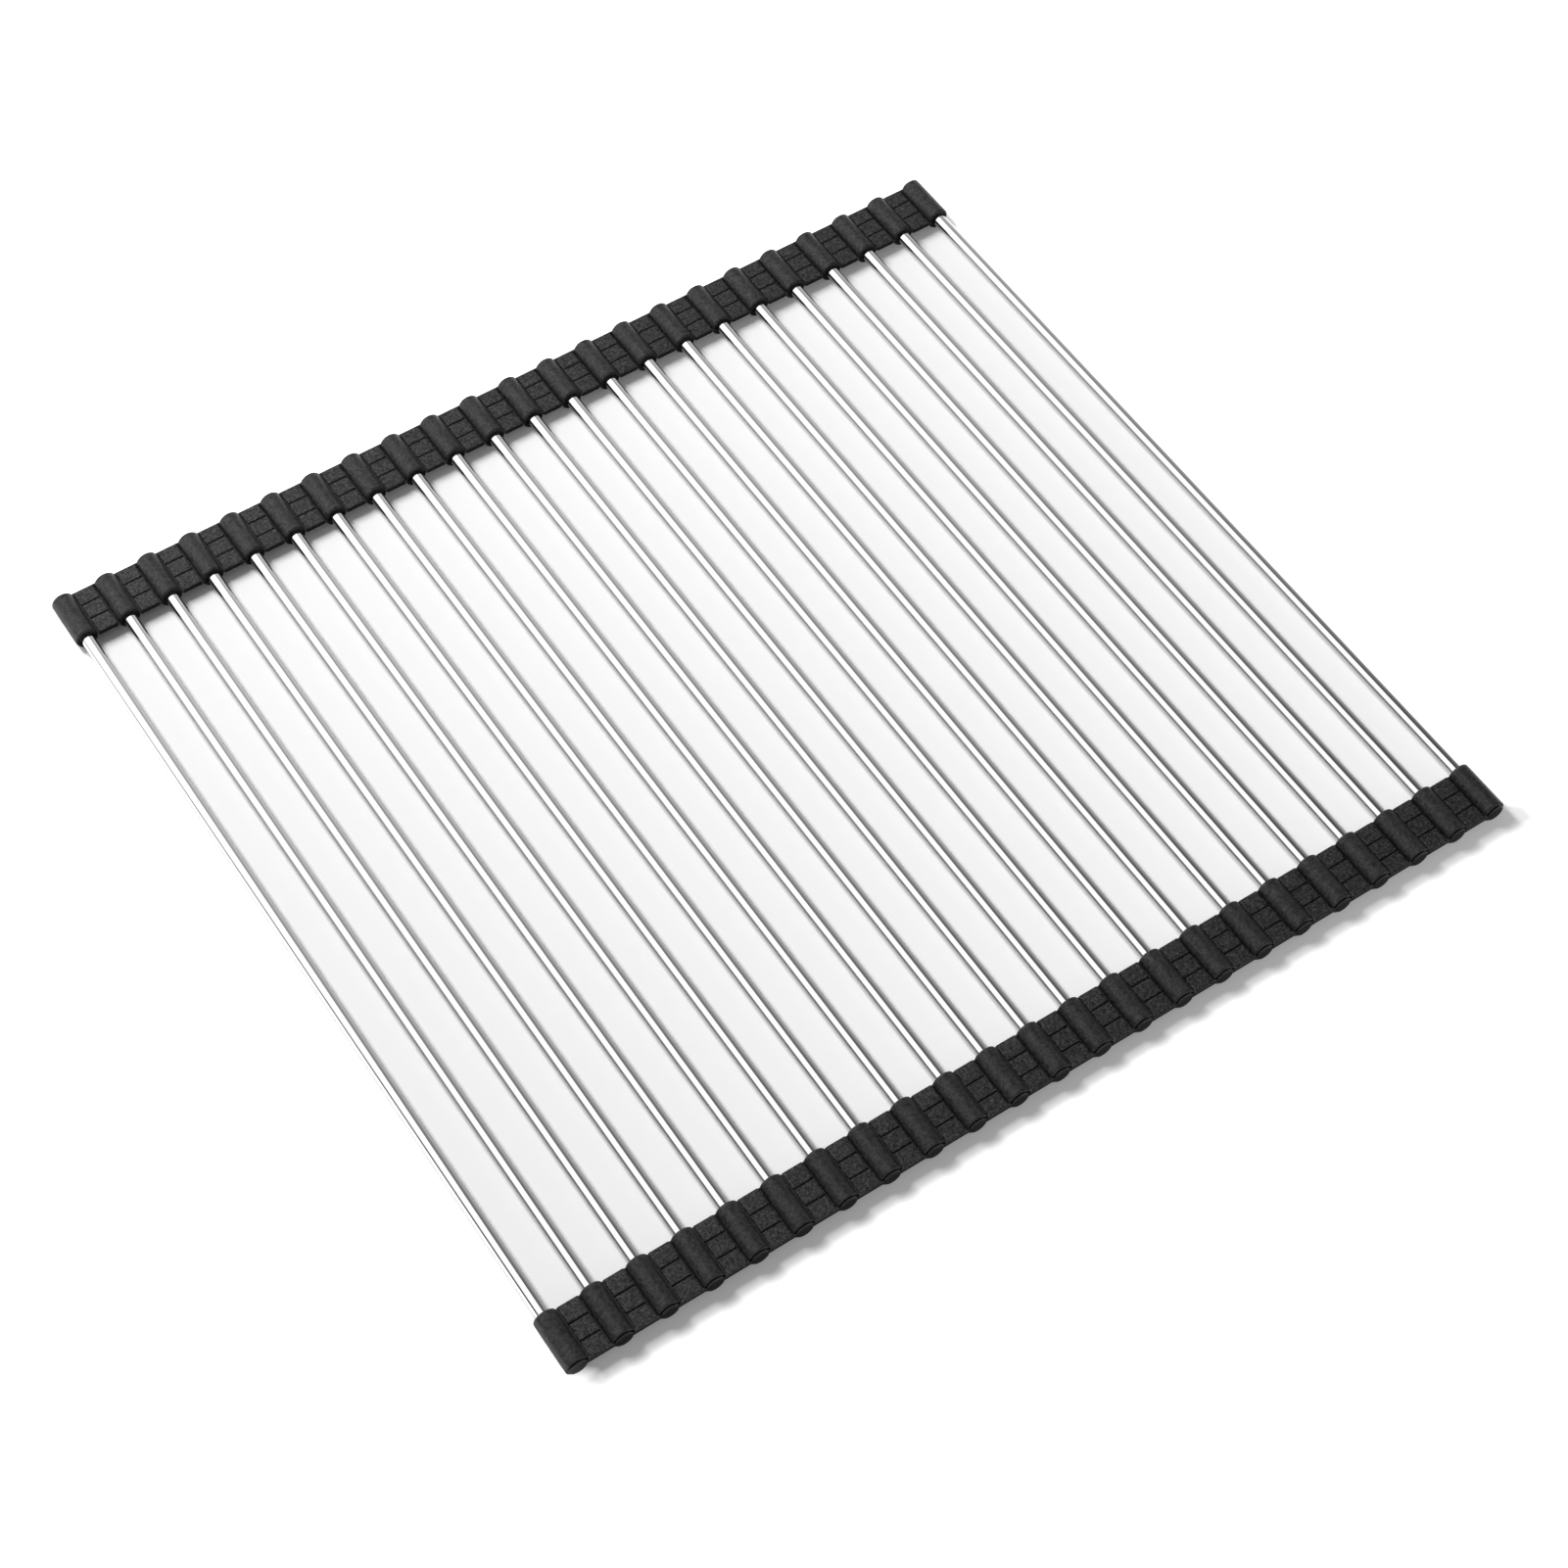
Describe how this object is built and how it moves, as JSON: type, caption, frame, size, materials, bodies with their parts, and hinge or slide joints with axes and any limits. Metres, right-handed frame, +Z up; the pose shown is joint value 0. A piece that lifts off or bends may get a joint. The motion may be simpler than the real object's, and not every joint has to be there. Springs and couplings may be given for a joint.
{
  "type": "roll up dish drying rack",
  "caption": "Flat drying rack of round steel tubes whose ends sit in two flexible silicone strips, so that it rolls up from one end for storage.",
  "frame": {"origin": "on the table, under the middle of the rack as it lies flat", "axes": "+X across the tubes, towards the end that the rack is rolled up from; +Y along the tubes, towards the far strip; +Z up"},
  "size_m": [0.45, 0.42, 0.0101],
  "materials": {
    "tube_steel": "bright polished stainless steel, drawn tube with faint lengthwise draw lines",
    "strip_silicone": "matte black moulded silicone with a fine even texture"
  },
  "bodies": {
    "link_01": {"far_strip_01": "strip_silicone", "near_strip_01": "strip_silicone", "tube_01": "tube_steel", "tube_02": "tube_steel"},
    "link_02": {"far_strip_02": "strip_silicone", "near_strip_02": "strip_silicone", "tube_03": "tube_steel", "tube_04": "tube_steel"},
    "link_03": {"far_strip_03": "strip_silicone", "near_strip_03": "strip_silicone", "tube_05": "tube_steel", "tube_06": "tube_steel"},
    "link_04": {"far_strip_04": "strip_silicone", "near_strip_04": "strip_silicone", "tube_07": "tube_steel", "tube_08": "tube_steel"},
    "link_05": {"far_strip_05": "strip_silicone", "near_strip_05": "strip_silicone", "tube_09": "tube_steel", "tube_10": "tube_steel"},
    "link_06": {"far_strip_06": "strip_silicone", "near_strip_06": "strip_silicone", "tube_11": "tube_steel"},
    "link_07": {"far_strip_07": "strip_silicone", "near_strip_07": "strip_silicone", "tube_12": "tube_steel"},
    "link_08": {"far_strip_08": "strip_silicone", "near_strip_08": "strip_silicone", "tube_13": "tube_steel"},
    "link_09": {"far_strip_09": "strip_silicone", "near_strip_09": "strip_silicone", "tube_14": "tube_steel"},
    "link_10": {"far_strip_10": "strip_silicone", "near_strip_10": "strip_silicone", "tube_15": "tube_steel"},
    "link_11": {"far_strip_11": "strip_silicone", "near_strip_11": "strip_silicone", "tube_16": "tube_steel"},
    "link_12": {"far_strip_12": "strip_silicone", "near_strip_12": "strip_silicone", "tube_17": "tube_steel"},
    "link_13": {"far_strip_13": "strip_silicone", "near_strip_13": "strip_silicone", "tube_18": "tube_steel"},
    "link_14": {"far_strip_14": "strip_silicone", "near_strip_14": "strip_silicone", "tube_19": "tube_steel"},
    "link_15": {"far_strip_15": "strip_silicone", "near_strip_15": "strip_silicone", "tube_20": "tube_steel"},
    "link_16": {"far_strip_16": "strip_silicone", "near_strip_16": "strip_silicone", "tube_21": "tube_steel"},
    "link_17": {"far_strip_17": "strip_silicone", "near_strip_17": "strip_silicone", "tube_22": "tube_steel"},
    "link_18": {"far_strip_18": "strip_silicone", "near_strip_18": "strip_silicone", "tube_23": "tube_steel"}
  },
  "joints": [
    {"name": "fold_01", "type": "hinge", "parent": "link_02", "child": "link_01", "pos_m": [-0.19, 0, 0.00621], "axis": [0, 1, 0], "range_deg": [0, 70], "stiffness_Nm_per_rad": 0.02},
    {"name": "fold_02", "type": "hinge", "parent": "link_03", "child": "link_02", "pos_m": [-0.15, 0, 0.00621], "axis": [0, 1, 0], "range_deg": [0, 55], "stiffness_Nm_per_rad": 0.02},
    {"name": "fold_03", "type": "hinge", "parent": "link_04", "child": "link_03", "pos_m": [-0.11, 0, 0.00621], "axis": [0, 1, 0], "range_deg": [0, 60], "stiffness_Nm_per_rad": 0.02},
    {"name": "fold_04", "type": "hinge", "parent": "link_05", "child": "link_04", "pos_m": [-0.07, 0, 0.00621], "axis": [0, 1, 0], "range_deg": [0, 73], "stiffness_Nm_per_rad": 0.02},
    {"name": "fold_05", "type": "hinge", "parent": "link_05", "child": "link_06", "pos_m": [-0.03, 0, 0.00621], "axis": [0, -1, 0], "range_deg": [0, 51], "stiffness_Nm_per_rad": 0.02},
    {"name": "fold_06", "type": "hinge", "parent": "link_06", "child": "link_07", "pos_m": [-0.01, 0, 0.00621], "axis": [0, -1, 0], "range_deg": [0, 38], "stiffness_Nm_per_rad": 0.02},
    {"name": "fold_07", "type": "hinge", "parent": "link_07", "child": "link_08", "pos_m": [0.01, 0, 0.00621], "axis": [0, -1, 0], "range_deg": [0, 39], "stiffness_Nm_per_rad": 0.02},
    {"name": "fold_08", "type": "hinge", "parent": "link_08", "child": "link_09", "pos_m": [0.03, 0, 0.00621], "axis": [0, -1, 0], "range_deg": [0, 41], "stiffness_Nm_per_rad": 0.02},
    {"name": "fold_09", "type": "hinge", "parent": "link_09", "child": "link_10", "pos_m": [0.05, 0, 0.00621], "axis": [0, -1, 0], "range_deg": [0, 43], "stiffness_Nm_per_rad": 0.02},
    {"name": "fold_10", "type": "hinge", "parent": "link_10", "child": "link_11", "pos_m": [0.07, 0, 0.00621], "axis": [0, -1, 0], "range_deg": [0, 45], "stiffness_Nm_per_rad": 0.02},
    {"name": "fold_11", "type": "hinge", "parent": "link_11", "child": "link_12", "pos_m": [0.09, 0, 0.00621], "axis": [0, -1, 0], "range_deg": [0, 48], "stiffness_Nm_per_rad": 0.02},
    {"name": "fold_12", "type": "hinge", "parent": "link_12", "child": "link_13", "pos_m": [0.11, 0, 0.00621], "axis": [0, -1, 0], "range_deg": [0, 51], "stiffness_Nm_per_rad": 0.02},
    {"name": "fold_13", "type": "hinge", "parent": "link_13", "child": "link_14", "pos_m": [0.13, 0, 0.00621], "axis": [0, -1, 0], "range_deg": [0, 55], "stiffness_Nm_per_rad": 0.02},
    {"name": "fold_14", "type": "hinge", "parent": "link_14", "child": "link_15", "pos_m": [0.15, 0, 0.00621], "axis": [0, -1, 0], "range_deg": [0, 60], "stiffness_Nm_per_rad": 0.02},
    {"name": "fold_15", "type": "hinge", "parent": "link_15", "child": "link_16", "pos_m": [0.17, 0, 0.00621], "axis": [0, -1, 0], "range_deg": [0, 67], "stiffness_Nm_per_rad": 0.02},
    {"name": "fold_16", "type": "hinge", "parent": "link_16", "child": "link_17", "pos_m": [0.19, 0, 0.00621], "axis": [0, -1, 0], "range_deg": [0, 77], "stiffness_Nm_per_rad": 0.02},
    {"name": "fold_17", "type": "hinge", "parent": "link_17", "child": "link_18", "pos_m": [0.21, 0, 0.00621], "axis": [0, -1, 0], "range_deg": [0, 97], "stiffness_Nm_per_rad": 0.02}
  ]
}
